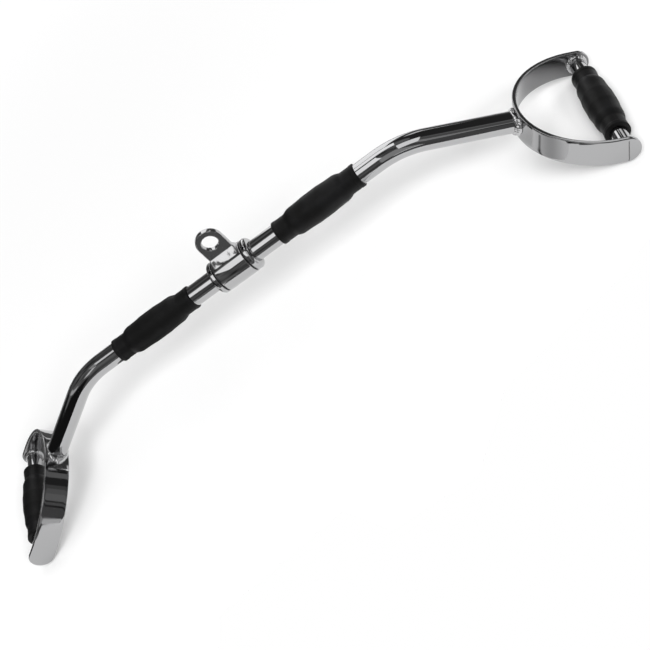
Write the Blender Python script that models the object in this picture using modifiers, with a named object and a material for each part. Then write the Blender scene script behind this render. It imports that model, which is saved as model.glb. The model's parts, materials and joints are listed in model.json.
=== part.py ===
"""Lat pulldown bar: a bent chrome tube with a revolving hanger, rubber grips and a stirrup at each end.

The bar stands on its two handle grips, as it does on a table, with the hanger's eye upwards.
+X runs along the middle of the bar, +Y to the rear and +Z up. The origin is on the ground under the hanger.
Each half is the other half turned half a turn about Z, so both are made by one loop from the same values.
"""

import math

import bmesh
import bpy
from mathutils import Vector

# Clearances: between pieces that touch, and round the tube where the hanger runs on it
GAP = 0.0003
RUNNING_GAP = 0.0001

# Points closer than this are one point
MERGE_DISTANCE = 0.000005

# Main tube: a straight middle, one bend to each side and a straight end down to the stirrup
TUBE_RADIUS = 0.0127
TUBE_WALL = 0.0020
BEND_CORNER_X = 0.2365
BEND_ANGLE = math.radians(31.5)
BEND_RADIUS = 0.105
BEND_STEPS = 8
END_LENGTH = 0.1315

# Stirrup: flat bar bent to a U, with round ends that carry the handle rod between them
STIRRUP_RADIUS = 0.0890
STIRRUP_STEPS = 40
BAND_THICKNESS = 0.0048
BAND_WIDTH = 0.0305
BAND_EDGE_BEVEL = 0.0006
BAND_END_FACETS = 20
HANDLE_DISTANCE = 0.0985
ROD_RADIUS = 0.0095

# Rubber grips: lengths, and radii of the cuffs at the ends, the shoulders and the belly between them
BAR_GRIP_START_X = 0.0640
BAR_GRIP_LENGTH = 0.1160
BAR_GRIP_RADII = {"cuff": 0.0143, "shoulder": 0.0172, "belly": 0.0182}
HANDLE_GRIP_LENGTH = 0.1140
HANDLE_GRIP_RADII = {"cuff": 0.0146, "shoulder": 0.0172, "belly": 0.0187}

# Each grip's outline: a rolled lip at the end, then where the cuff ends and where the shoulder and the belly
# are reached, as shares of the half length from the middle
GRIP_LIP = 0.0004
GRIP_LIP_LENGTH = 0.0050
GRIP_CUFF_END = 0.69
GRIP_SHOULDER = 0.52
GRIP_BELLY = 0.18
GRIP_FLARE_STEPS = 3
GRIP_BELLY_STEPS = 2

# Hanger: a barrel that turns on the tube, with the eye plate welded on it
BARREL_RADIUS = 0.0205
BARREL_BORE_RADIUS = 0.0163
BARREL_HALF_LENGTH = 0.0200
BARREL_CHAMFER = 0.0008
HANGER_LEAN = math.radians(5.0)
EYE_HEIGHT = 0.0450
EYE_PLATE_RADIUS = 0.0168
EYE_HOLE_RADIUS = 0.0098
EYE_PLATE_THICKNESS = 0.0070
EYE_EDGE_BEVEL = 0.0010
EYE_PLATE_FOOT_Z = 0.0180
EYE_FOOT_RELIEF = 0.0004
EYE_FOOT_RELIEF_Z = 0.0256
EYE_TOP_STEPS = 20
EYE_HOLE_STEPS = 28

# Flanged bushings, pressed into the barrel's two ends
BUSHING_LENGTH = 0.0140
BUSHING_FLANGE_RADIUS = 0.0190
BUSHING_FLANGE_THICKNESS = 0.0015

# Stop collars, which keep the hanger in the middle of the bar, and their set screws
COLLAR_LENGTH = 0.0074
COLLAR_RADIUS = 0.0202
COLLAR_NOSE_RADIUS = 0.0150
COLLAR_RIM_LENGTH = 0.0032
COLLAR_NOSE_STEPS = 5
SCREW_ALONG_COLLAR = 0.0026
SCREW_RADIUS = 0.0015
SCREW_DEPTH_BELOW_RIM = 0.0006
SCREW_LEAN = math.radians(20.0)
SOCKET_RADIUS = 0.0009
SOCKET_DEPTH = 0.0015
SOCKET_SIDES = 6

# Weld beads: how far they reach along each of the two pieces that they join
TUBE_WELD_ALONG_TUBE = 0.0060
TUBE_WELD_ACROSS = 0.0065
TUBE_WELD_TO_EDGE = 0.0020
ROD_WELD_LEG = 0.0035
EYE_WELD_UP_PLATE = 0.0046
EYE_WELD_ACROSS = 0.0055
EYE_WELD_AT_ENDS = 0.0022
WELD_LIP = 0.0005
WELD_STEPS = 3
WELD_CORNER_STEPS = 4
WELD_END_STEPS = 6

# Sides of the round pieces
TUBE_SIDES = 32
GRIP_SIDES = 24
ROD_SIDES = 24
SCREW_SIDES = 16

# The belly of each handle grip stands out past the band's round end, so the bar stands on two flat sides of
# the grips. That gives the height of the tube's axis over the ground.
BAND_END_RADIUS = BAND_WIDTH / 2
GRIP_DROP = HANDLE_GRIP_RADII["belly"] * math.cos(math.pi / GRIP_SIDES)
AXIS_HEIGHT = (END_LENGTH + HANDLE_DISTANCE) * math.sin(BEND_ANGLE) + GRIP_DROP

# The two halves of the bar, and how far each is turned about Z
HALVES = {"right": 0.0, "left": math.pi}


def clear_scene():
    """Removes every object, so that the model starts from nothing."""
    for obj in list(bpy.data.objects):
        bpy.data.objects.remove(obj, do_unlink=True)


def make_collection(name):
    """Returns a new collection of that name in the scene."""
    collection = bpy.data.collections.new(name)
    bpy.context.scene.collection.children.link(collection)
    return collection


def make_material(name, colour, roughness, metallic):
    """Returns a Principled material with a plain colour."""
    material = bpy.data.materials.new(name)
    material.use_nodes = True
    shader = material.node_tree.nodes["Principled BSDF"]
    shader.inputs["Base Color"].default_value = (*colour, 1.0)
    shader.inputs["Roughness"].default_value = roughness
    shader.inputs["Metallic"].default_value = metallic
    return material


def bore_radius(shaft_radius, gap, sides):
    """Corner radius of a faceted bore whose flat sides stay that gap off a round shaft."""
    return (shaft_radius + gap) / math.cos(math.pi / sides)


def arc_points(centre, radius, start, end, steps):
    """Points on an arc about a centre in a plane, both ends included; angles in radians."""
    points = []
    for step in range(steps + 1):
        angle = start + (end - start) * step / steps
        x = centre[0] + radius * math.cos(angle)
        y = centre[1] + radius * math.sin(angle)
        points.append((x, y))
    return points


def new_object(name, data, collection):
    """Links a new object with that data."""
    obj = bpy.data.objects.new(name, data)
    collection.objects.link(obj)
    return obj


def place(obj, parent, location=(0.0, 0.0, 0.0), rotation=(0.0, 0.0, 0.0)):
    """Parents an object and sets its place and turn in the parent's frame."""
    obj.parent = parent
    obj.location = location
    obj.rotation_euler = rotation
    return obj


def make_empty(name, collection, parent=None, location=(0.0, 0.0, 0.0), rotation=(0.0, 0.0, 0.0)):
    """An empty that carries one group of pieces."""
    return place(new_object(name, None, collection), parent, location, rotation)


def finish(obj, material, sharp_angle=math.radians(35.0)):
    """Gives a piece its material, and shades it smooth with its real corners kept sharp."""
    obj.data.materials.append(material)
    obj.data.shade_smooth()
    obj.data.set_sharp_from_angle(angle=sharp_angle)
    return obj


def turned(name, profile, sides, collection, material):
    """A piece turned about its own Z axis from a closed profile of (radius, height) points.

    The profile runs down its outer side and back up through the bore, or up the axis of a solid piece.
    """
    mesh = bpy.data.meshes.new(name)
    vertices = [(radius, 0.0, height) for radius, height in profile]
    edges = [(i, i + 1) for i in range(len(profile) - 1)]
    if profile[0][0] > 0.0:
        edges.append((len(profile) - 1, 0))
    mesh.from_pydata(vertices, edges, [])
    mesh.materials.append(material)
    obj = new_object(name, mesh, collection)
    screw = obj.modifiers.new("turn", "SCREW")
    screw.axis = "Z"
    screw.angle = 2 * math.pi
    screw.steps = sides
    screw.render_steps = sides
    screw.use_merge_vertices = True
    screw.merge_threshold = MERGE_DISTANCE
    screw.use_smooth_shade = True
    return obj


def as_mesh(obj):
    """Replaces a curve object by a mesh object of the same name, with its caps welded on."""
    bpy.context.view_layer.update()
    evaluated = obj.evaluated_get(bpy.context.evaluated_depsgraph_get())
    mesh = bpy.data.meshes.new_from_object(evaluated)
    matrix = obj.matrix_world.copy()
    name = obj.name
    collection = obj.users_collection[0]
    bpy.data.objects.remove(obj, do_unlink=True)
    body = bmesh.new()
    body.from_mesh(mesh)
    bmesh.ops.remove_doubles(body, verts=body.verts, dist=MERGE_DISTANCE)
    bmesh.ops.recalc_face_normals(body, faces=body.faces)
    body.to_mesh(mesh)
    body.free()
    solid = new_object(name, mesh, collection)
    solid.matrix_world = matrix
    return solid


def extruded_outline(name, loops, thickness, collection):
    """A flat piece in its own XY plane: closed outlines, filled between them and given a thickness."""
    curve = bpy.data.curves.new(name, "CURVE")
    curve.dimensions = "2D"
    curve.fill_mode = "BOTH"
    curve.extrude = thickness / 2
    for loop in loops:
        spline = curve.splines.new("POLY")
        spline.points.add(len(loop) - 1)
        for point, (x, y) in zip(spline.points, loop):
            point.co = (x, y, 0.0, 1.0)
        spline.use_cyclic_u = True
    return as_mesh(new_object(name, curve, collection))


def swept_tube(name, path, radius, sides, collection):
    """A round bar along a path of points, with closed ends."""
    curve = bpy.data.curves.new(name, "CURVE")
    curve.dimensions = "3D"
    curve.twist_mode = "Z_UP"
    curve.bevel_depth = radius
    curve.bevel_resolution = sides // 2 - 2
    curve.use_fill_caps = True
    spline = curve.splines.new("POLY")
    spline.points.add(len(path) - 1)
    for point, place_on_path in zip(spline.points, path):
        point.co = (*place_on_path, 1.0)
    return as_mesh(new_object(name, curve, collection))


def lofted_ring(name, sections, collection, material):
    """A closed ring of equal sections, each joined to the next and the last to the first."""
    body = bmesh.new()
    rows = [[body.verts.new(point) for point in section] for section in sections]
    for row, next_row in zip(rows, rows[1:] + rows[:1]):
        for i in range(len(row)):
            j = (i + 1) % len(row)
            body.faces.new((row[i], row[j], next_row[j], next_row[i]))
    bmesh.ops.recalc_face_normals(body, faces=body.faces)
    mesh = bpy.data.meshes.new(name)
    body.to_mesh(mesh)
    body.free()
    return finish(new_object(name, mesh, collection), material)


def cylinder(name, radius, length, sides, collection):
    """A plain cylinder along its own Z axis, centred on its origin."""
    body = bmesh.new()
    bmesh.ops.create_cone(
        body, cap_ends=True, segments=sides, radius1=radius, radius2=radius, depth=length
    )
    mesh = bpy.data.meshes.new(name)
    body.to_mesh(mesh)
    body.free()
    return new_object(name, mesh, collection)


def as_cutter(obj):
    """Marks an object as a cutter, which shapes its neighbours and isn't part of the model."""
    obj.hide_render = True
    obj.display_type = "WIRE"
    return obj


def cut(obj, cutter, operation="DIFFERENCE"):
    """Adds a Boolean with a cutter to an object."""
    boolean = obj.modifiers.new(cutter.name, "BOOLEAN")
    boolean.operation = operation
    boolean.solver = "EXACT"
    boolean.object = cutter
    return obj


def bevel_edges(obj, width, segments, least_angle=math.radians(50.0)):
    """Rounds the edges of an object that are sharper than an angle."""
    bevel = obj.modifiers.new("edges", "BEVEL")
    bevel.width = width
    bevel.segments = segments
    bevel.limit_method = "ANGLE"
    bevel.angle_limit = least_angle
    return obj


def bar_path(extra_length=0.0):
    """Points on the tube's axis from the left end to the right end, relative to the middle of the bar."""
    set_back = BEND_RADIUS * math.tan(BEND_ANGLE / 2)
    arc_start_x = BEND_CORNER_X - set_back
    arc = arc_points(
        (arc_start_x, -BEND_RADIUS), BEND_RADIUS, math.pi / 2, math.pi / 2 - BEND_ANGLE, BEND_STEPS
    )
    length = END_LENGTH + extra_length
    end_x = BEND_CORNER_X + length * math.cos(BEND_ANGLE)
    end_z = -length * math.sin(BEND_ANGLE)
    right = [(x, 0.0, z) for x, z in arc] + [(end_x, 0.0, end_z)]
    left = [(-x, y, z) for x, y, z in reversed(right)]
    return left + right


def stirrup_frames(root, collection):
    """Two empties, each where an end of the tube meets its stirrup, with X down along the end of the tube."""
    frames = {}
    for side, turn in HALVES.items():
        direction = math.cos(turn)
        corner = Vector((direction * BEND_CORNER_X, 0.0, 0.0))
        along = Vector((direction * math.cos(BEND_ANGLE), 0.0, -math.sin(BEND_ANGLE)))
        frames[side] = make_empty(
            f"stirrup_{side}", collection, root, corner + along * END_LENGTH, (0.0, BEND_ANGLE, turn)
        )
    return frames


def build_main_tube(root, frames, collection, cutters, chrome):
    """The bent tube, hollow, with both ends coped to the round backs of the stirrups."""
    reach = STIRRUP_RADIUS / 2
    tube = swept_tube("main_tube", bar_path(reach), TUBE_RADIUS, TUBE_SIDES, collection)
    bore_path = bar_path(2 * reach)
    bore = swept_tube("tube_bore", bore_path, TUBE_RADIUS - TUBE_WALL, TUBE_SIDES, cutters)
    place(tube, root)
    place(as_cutter(bore), root)
    cut(tube, bore)
    for side, frame in frames.items():
        cope = cylinder(
            f"tube_cope_{side}", STIRRUP_RADIUS + GAP, 3 * BAND_WIDTH, 2 * STIRRUP_STEPS, cutters
        )
        place(as_cutter(cope), frame, (STIRRUP_RADIUS, 0.0, 0.0))
        cut(tube, cope)
    return finish(tube, chrome)


def build_band(side, frame, collection, cutters, chrome):
    """The stirrup: a flat bar bent to a U, cut to its width and to its round ends, with softened edges."""
    inner_radius = STIRRUP_RADIUS - BAND_THICKNESS
    centre = (STIRRUP_RADIUS, 0.0)
    leg_end = HANDLE_DISTANCE + BAND_WIDTH
    outer = arc_points(centre, STIRRUP_RADIUS, 1.5 * math.pi, 0.5 * math.pi, STIRRUP_STEPS)
    inner = arc_points(centre, inner_radius, 0.5 * math.pi, 1.5 * math.pi, STIRRUP_STEPS)
    outline = [(leg_end, -STIRRUP_RADIUS)] + outer + [(leg_end, STIRRUP_RADIUS)]
    outline += [(leg_end, inner_radius)] + inner + [(leg_end, -inner_radius)]
    band = extruded_outline(f"stirrup_band_{side}", [outline], 2 * BAND_WIDTH, collection)
    place(band, frame)

    round_end = arc_points(
        (HANDLE_DISTANCE, 0.0), BAND_END_RADIUS, -math.pi / 2, math.pi / 2, BAND_END_FACETS
    )
    back = -BAND_THICKNESS
    side_view = [(back, -BAND_END_RADIUS)] + round_end + [(back, BAND_END_RADIUS)]
    blank = extruded_outline(f"band_side_view_{side}", [side_view], 3 * STIRRUP_RADIUS, cutters)
    place(as_cutter(blank), frame, rotation=(math.pi / 2, 0.0, 0.0))
    cut(band, blank, "INTERSECT")
    bevel_edges(band, BAND_EDGE_BEVEL, 1)
    return finish(band, chrome)


def fillet_section(inner, outer, foot, top):
    """Section of a weld bead as (distance from the axis, height) points: flat under, hollow on its face."""
    lip = foot + WELD_LIP
    neck = inner + WELD_LIP
    section = [(inner, foot), (outer, foot)]
    for step in range(WELD_STEPS + 1):
        angle = math.pi / 2 * (1.0 - step / WELD_STEPS)
        across = outer - (outer - neck) * math.cos(angle)
        height = top - (top - lip) * math.sin(angle)
        section.append((across, height))
    section.append((inner, top))
    return section


def build_tube_weld(side, frame, collection, chrome):
    """The bead round the end of the tube, spread along the band's curve and drawn in at its edges."""
    inner = bore_radius(TUBE_RADIUS, GAP, TUBE_SIDES)
    seat_radius = STIRRUP_RADIUS + GAP
    sections = []
    for step in range(TUBE_SIDES):
        angle = 2 * math.pi * step / TUBE_SIDES
        across, to_edge = math.cos(angle), math.sin(angle)
        spread = (TUBE_WELD_ACROSS * across, TUBE_WELD_TO_EDGE * to_edge)
        outer = math.hypot(TUBE_RADIUS * across + spread[0], TUBE_RADIUS * to_edge + spread[1])
        section = []
        for distance, height in fillet_section(inner, outer, 0.0, TUBE_WELD_ALONG_TUBE):
            y = distance * across
            seat = STIRRUP_RADIUS - math.sqrt(seat_radius**2 - y**2)
            section.append((seat - height, y, distance * to_edge))
        sections.append(section)
    return place(lofted_ring(f"tube_weld_{side}", sections, collection, chrome), frame)


def build_rod(side, frame, collection, chrome):
    """The rod across the stirrup, between the inner faces of the band's legs."""
    half = STIRRUP_RADIUS - BAND_THICKNESS - GAP
    profile = [(0.0, half), (ROD_RADIUS, half), (ROD_RADIUS, -half), (0.0, -half)]
    rod = turned(f"handle_rod_{side}", profile, ROD_SIDES, collection, chrome)
    return place(rod, frame, (HANDLE_DISTANCE, 0.0, 0.0), (math.pi / 2, 0.0, 0.0))


def build_rod_welds(side, frame, collection, chrome):
    """The bead round each end of the rod, on the inner face of the band."""
    inner = bore_radius(ROD_RADIUS, GAP, ROD_SIDES)
    face = STIRRUP_RADIUS - BAND_THICKNESS - GAP
    section = fillet_section(inner, ROD_RADIUS + ROD_WELD_LEG, 0.0, ROD_WELD_LEG)
    profile = list(reversed(section))
    for end, local_sign in (("front", -1), ("rear", 1)):
        sign = local_sign * round(math.cos(HALVES[side]))
        bead = turned(f"rod_weld_{side}_{end}", profile, ROD_SIDES, collection, chrome)
        turn = math.pi / 2 * sign
        place(bead, frame, (HANDLE_DISTANCE, sign * face, 0.0), (turn, 0.0, 0.0))


def grip_profile(length, radii, bore):
    """Closed profile of a rubber grip: a cuff with a rolled lip at each end, shoulders and a belly."""
    half = length / 2
    cuff, shoulder, belly = radii["cuff"], radii["shoulder"], radii["belly"]
    upper = [
        (cuff, half),
        (cuff + GRIP_LIP, half - GRIP_LIP),
        (cuff + GRIP_LIP, half - GRIP_LIP_LENGTH),
        (cuff, half - GRIP_LIP_LENGTH - GRIP_LIP),
        (cuff, half * GRIP_CUFF_END),
    ]
    for step in range(1, GRIP_FLARE_STEPS + 1):
        share = step / GRIP_FLARE_STEPS
        radius = cuff + (shoulder - cuff) * math.sin(math.pi / 2 * share)
        upper.append((radius, half * (GRIP_CUFF_END + (GRIP_SHOULDER - GRIP_CUFF_END) * share)))
    for step in range(1, GRIP_BELLY_STEPS + 1):
        share = step / GRIP_BELLY_STEPS
        radius = shoulder + (belly - shoulder) * share**2
        upper.append((radius, half * (GRIP_SHOULDER + (GRIP_BELLY - GRIP_SHOULDER) * share)))
    lower = [(radius, -height) for radius, height in reversed(upper)]
    return upper + lower + [(bore, -half), (bore, half)]


def build_bar_grips(root, collection, rubber):
    """The rubber grip on the straight tube, to each side of the hanger."""
    bore = bore_radius(TUBE_RADIUS, GAP, GRIP_SIDES)
    profile = grip_profile(BAR_GRIP_LENGTH, BAR_GRIP_RADII, bore)
    for side, turn in HALVES.items():
        grip = turned(f"bar_grip_{side}", profile, GRIP_SIDES, collection, rubber)
        middle = math.cos(turn) * (BAR_GRIP_START_X + BAR_GRIP_LENGTH / 2)
        place(grip, root, (middle, 0.0, 0.0), (0.0, math.pi / 2, 0.0))


def build_handle_grip(side, frame, collection, rubber):
    """The rubber grip on the rod across the stirrup, turned so that one of its flat sides is level."""
    bore = bore_radius(ROD_RADIUS, GAP, GRIP_SIDES)
    profile = grip_profile(HANDLE_GRIP_LENGTH, HANDLE_GRIP_RADII, bore)
    grip = turned(f"handle_grip_{side}", profile, GRIP_SIDES, collection, rubber)
    level = math.pi / 2 - BEND_ANGLE + math.pi / GRIP_SIDES
    return place(grip, frame, (HANDLE_DISTANCE, 0.0, 0.0), (math.pi / 2, level, 0.0))


def build_barrel(hanger, collection, chrome):
    """The hanger's barrel: a short thick tube with chamfered rims."""
    half, rim, soft = BARREL_HALF_LENGTH, BARREL_RADIUS, BARREL_CHAMFER
    profile = [
        (rim - soft, half),
        (rim, half - soft),
        (rim, soft - half),
        (rim - soft, -half),
        (BARREL_BORE_RADIUS, -half),
        (BARREL_BORE_RADIUS, half),
    ]
    barrel = turned("hanger_barrel", profile, TUBE_SIDES, collection, chrome)
    return place(barrel, hanger, rotation=(0.0, math.pi / 2, 0.0))


def build_eye(hanger, collection, cutters, chrome):
    """The eye plate: straight sides, a round top about the hole, and a foot coped to the barrel.

    Both faces of the foot are ground back a little, so that the weld keeps off the flat faces above it.
    """
    top = arc_points((0.0, EYE_HEIGHT), EYE_PLATE_RADIUS, 0.0, math.pi, EYE_TOP_STEPS)
    foot = [(-EYE_PLATE_RADIUS, EYE_PLATE_FOOT_Z), (EYE_PLATE_RADIUS, EYE_PLATE_FOOT_Z)]
    hole = arc_points((0.0, EYE_HEIGHT), EYE_HOLE_RADIUS, 0.0, 2 * math.pi, EYE_HOLE_STEPS)[:-1]
    eye = extruded_outline("hanger_eye", [top + foot, hole], EYE_PLATE_THICKNESS, collection)
    place(eye, hanger, rotation=(math.pi / 2, 0.0, 0.0))
    bevel_edges(eye, EYE_EDGE_BEVEL, 2)
    seat_radius = bore_radius(BARREL_RADIUS, GAP, TUBE_SIDES)
    seat = cylinder("eye_seat", seat_radius, 4 * BARREL_HALF_LENGTH, TUBE_SIDES, cutters)
    place(as_cutter(seat), hanger, rotation=(0.0, math.pi / 2, 0.0))
    cut(eye, seat)
    side = 2 * EYE_PLATE_RADIUS
    for direction in (-1, 1):
        blank = [(-side, 0.0), (side, 0.0), (side, EYE_FOOT_RELIEF_Z), (-side, EYE_FOOT_RELIEF_Z)]
        relief = extruded_outline(f"eye_relief_{direction}", [blank], EYE_PLATE_THICKNESS, cutters)
        off_middle = direction * (EYE_PLATE_THICKNESS - EYE_FOOT_RELIEF)
        place(as_cutter(relief), hanger, (0.0, off_middle, 0.0), (math.pi / 2, 0.0, 0.0))
        cut(eye, relief)
    return finish(eye, chrome)


def weld_outline(half_x, half_y, corner):
    """Points round a rectangle with round corners, with more across its two ends, which cross the barrel."""
    inner_x = half_x - corner
    inner_y = half_y - corner
    half_outline = arc_points((inner_x, -inner_y), corner, -math.pi / 2, 0.0, WELD_CORNER_STEPS)
    for step in range(1, WELD_END_STEPS):
        half_outline.append((half_x, inner_y * (2 * step / WELD_END_STEPS - 1)))
    half_outline += arc_points((inner_x, inner_y), corner, 0.0, math.pi / 2, WELD_CORNER_STEPS)
    return half_outline + [(-x, -y) for x, y in half_outline]


def build_eye_weld(hanger, collection, chrome):
    """The bead round the foot of the eye plate, seated on the round of the barrel.

    One point more under the middle of each section keeps the bead's seat on the barrel's curve.
    """
    seat_radius = bore_radius(BARREL_RADIUS, GAP, TUBE_SIDES)
    inner_x = EYE_PLATE_RADIUS + GAP
    inner_y = EYE_PLATE_THICKNESS / 2 - EYE_FOOT_RELIEF + GAP
    outer_x = EYE_PLATE_RADIUS + EYE_WELD_AT_ENDS
    outer_y = EYE_PLATE_THICKNESS / 2 + EYE_WELD_ACROSS
    inner = weld_outline(inner_x, inner_y, GAP)
    outer = weld_outline(outer_x, outer_y, EYE_WELD_AT_ENDS)
    sections = []
    for (near_x, near_y), (far_x, far_y) in zip(inner, outer):
        section = []
        foot, *face = fillet_section(0.0, 1.0, 0.0, EYE_WELD_UP_PLATE)
        under_middle = (0.5, 0.0)
        for share, height in [foot, under_middle] + face:
            x = near_x + (far_x - near_x) * share
            y = near_y + (far_y - near_y) * share
            section.append((x, y, math.sqrt(seat_radius**2 - y**2) + height))
        sections.append(section)
    return place(lofted_ring("eye_weld", sections, collection, chrome), hanger)


def build_bushings(hanger, collection, bearing):
    """The flanged bushing in each end of the barrel, which runs on the tube."""
    bore = TUBE_RADIUS + RUNNING_GAP
    sleeve = BARREL_BORE_RADIUS - GAP
    flange_top = BARREL_HALF_LENGTH + GAP + BUSHING_FLANGE_THICKNESS
    profile = [
        (BUSHING_FLANGE_RADIUS, flange_top),
        (BUSHING_FLANGE_RADIUS, BARREL_HALF_LENGTH + GAP),
        (sleeve, BARREL_HALF_LENGTH + GAP),
        (sleeve, BARREL_HALF_LENGTH - BUSHING_LENGTH),
        (bore, BARREL_HALF_LENGTH - BUSHING_LENGTH),
        (bore, flange_top),
    ]
    for side, turn in HALVES.items():
        bushing = turned(f"bushing_{side}", profile, TUBE_SIDES, collection, bearing)
        place(bushing, hanger, rotation=(0.0, math.pi / 2 * math.cos(turn), 0.0))


def collar_start_x():
    """Where a stop collar begins, just clear of the bushing's flange."""
    return BARREL_HALF_LENGTH + BUSHING_FLANGE_THICKNESS + 2 * GAP


def collar_profile():
    """Closed profile of a stop collar: a plain rim next to the hanger, then a nose rounded down."""
    start = collar_start_x()
    end = start + COLLAR_LENGTH
    rim_end = start + COLLAR_RIM_LENGTH
    bore = bore_radius(TUBE_RADIUS, GAP, TUBE_SIDES)
    nose = []
    for step in range(COLLAR_NOSE_STEPS + 1):
        angle = math.pi / 2 * step / COLLAR_NOSE_STEPS
        radius = COLLAR_NOSE_RADIUS + (COLLAR_RADIUS - COLLAR_NOSE_RADIUS) * math.sin(angle)
        height = rim_end + (end - rim_end) * math.cos(angle)
        nose.append((radius, height))
    return nose + [(COLLAR_RADIUS, start), (bore, start), (bore, end)]


def build_collars(root, collection, cutters, chrome, screw_metal):
    """The stop collars and the set screws that lock them on the tube."""
    profile = collar_profile()
    screw_x = collar_start_x() + SCREW_ALONG_COLLAR
    screw_top = COLLAR_RADIUS - SCREW_DEPTH_BELOW_RIM
    screw_length = screw_top - TUBE_RADIUS - GAP
    for side, turn in HALVES.items():
        direction = math.cos(turn)
        collar = turned(f"stop_collar_{side}", profile, TUBE_SIDES, collection, chrome)
        place(collar, root, rotation=(0.0, math.pi / 2 * direction, 0.0))
        screw_frame = make_empty(
            f"screw_axis_{side}", collection, root, (direction * screw_x, 0.0, 0.0), (SCREW_LEAN, 0.0, 0.0)
        )
        hole = cylinder(f"screw_hole_{side}", SCREW_RADIUS + GAP, COLLAR_RADIUS, SCREW_SIDES, cutters)
        place(as_cutter(hole), screw_frame, (0.0, 0.0, TUBE_RADIUS - GAP + COLLAR_RADIUS / 2))
        cut(collar, hole)

        body = cylinder(f"set_screw_{side}", SCREW_RADIUS, screw_length, SCREW_SIDES, collection)
        place(body, screw_frame, (0.0, 0.0, screw_top - screw_length / 2))
        socket = cylinder(f"screw_socket_{side}", SOCKET_RADIUS, 2 * SOCKET_DEPTH, SOCKET_SIDES, cutters)
        place(as_cutter(socket), screw_frame, (0.0, 0.0, screw_top))
        cut(body, socket)
        finish(body, screw_metal)


def main():
    """Builds the whole bar."""
    clear_scene()
    parts = make_collection("lat_pulldown_bar")
    cutters = make_collection("cutters")
    chrome = make_material("chrome_plate", (0.72, 0.73, 0.75), 0.08, 1.0)
    rubber = make_material("black_rubber", (0.018, 0.018, 0.020), 0.55, 0.0)
    bearing = make_material("bearing_nylon", (0.04, 0.04, 0.042), 0.45, 0.0)
    screw_metal = make_material("blackened_screw", (0.05, 0.05, 0.055), 0.35, 1.0)

    root = make_empty("bar_axis", parts, location=(0.0, 0.0, AXIS_HEIGHT))
    frames = stirrup_frames(root, parts)
    build_main_tube(root, frames, parts, cutters, chrome)
    for side, frame in frames.items():
        build_band(side, frame, parts, cutters, chrome)
        build_tube_weld(side, frame, parts, chrome)
        build_rod(side, frame, parts, chrome)
        build_rod_welds(side, frame, parts, chrome)
        build_handle_grip(side, frame, parts, rubber)
    build_bar_grips(root, parts, rubber)

    hanger = make_empty("hanger_axis", parts, root, rotation=(-HANGER_LEAN, 0.0, 0.0))
    build_barrel(hanger, parts, chrome)
    build_eye(hanger, parts, cutters, chrome)
    build_eye_weld(hanger, parts, chrome)
    build_bushings(hanger, parts, bearing)
    build_collars(root, parts, cutters, chrome, screw_metal)


if __name__ == "__main__":
    main()
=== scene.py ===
"""Looks of a lat pulldown bar: chrome plated tube, stirrups and hanger, with moulded rubber grips.

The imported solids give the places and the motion. Every piece here is a surface worked out on a grid in the same
frame, in metres, and stands for the solid of its own piece: +X along the bar, +Y to the rear, +Z up.
"""

import json
import logging
import math
from dataclasses import dataclass
from enum import Enum

import bmesh
import bpy
import numpy as np
from bpy.types import Material, Node, NodeSocket, NodeTree, Object
from mathutils import Matrix, Vector


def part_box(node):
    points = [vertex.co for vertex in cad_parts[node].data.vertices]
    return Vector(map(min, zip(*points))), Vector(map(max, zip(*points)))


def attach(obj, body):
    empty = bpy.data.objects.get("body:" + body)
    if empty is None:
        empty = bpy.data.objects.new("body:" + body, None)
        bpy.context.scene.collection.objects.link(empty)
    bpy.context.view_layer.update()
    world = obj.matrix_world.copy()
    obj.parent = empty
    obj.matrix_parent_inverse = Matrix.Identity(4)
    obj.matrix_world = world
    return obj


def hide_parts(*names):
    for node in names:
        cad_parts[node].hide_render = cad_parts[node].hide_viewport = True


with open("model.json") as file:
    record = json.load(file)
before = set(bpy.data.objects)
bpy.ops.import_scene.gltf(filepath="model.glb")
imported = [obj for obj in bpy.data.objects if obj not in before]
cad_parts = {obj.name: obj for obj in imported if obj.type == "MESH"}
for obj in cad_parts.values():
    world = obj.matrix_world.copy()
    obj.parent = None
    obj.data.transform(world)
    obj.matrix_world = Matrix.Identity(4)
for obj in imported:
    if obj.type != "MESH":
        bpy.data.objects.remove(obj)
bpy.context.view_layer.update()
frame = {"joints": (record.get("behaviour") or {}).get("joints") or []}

LOG = logging.getLogger("lat_pulldown_bar")
MM = 0.001
MERGE_DISTANCE = 0.002 * MM
CRISP = 0.0001 * MM
QUARTER_TURN = math.pi / 2
BAR = "bar"
HANGER = "hanger"

Pair = tuple[float, float]
Point = tuple[float, float, float]


class Side(Enum):
    """The two halves of the bar, as they stand in the names of their pieces."""

    RIGHT = "right"
    LEFT = "left"

    @property
    def sign(self) -> int:
        """+1 on the right and -1 on the left."""
        return 1 if self is Side.RIGHT else -1


@dataclass(frozen=True)
class Placement:
    """Where a piece's own axes lie in the row frame."""

    origin: Point
    matrix: Matrix

    def world(self, points: np.ndarray) -> np.ndarray:
        """Carries points, with x, y and z on the last axis, from the piece's own axes to the row frame."""
        return points @ np.array(self.matrix).T + np.array(self.origin)

    def turned(self, angle: float, axis: str, place: Point = (0.0, 0.0, 0.0)) -> "Placement":
        """A placement at a point of this one, with its axes turned by an angle about one of them."""
        return Placement(tuple(self.world(np.array(place))), self.matrix @ Matrix.Rotation(angle, 3, axis))


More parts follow.
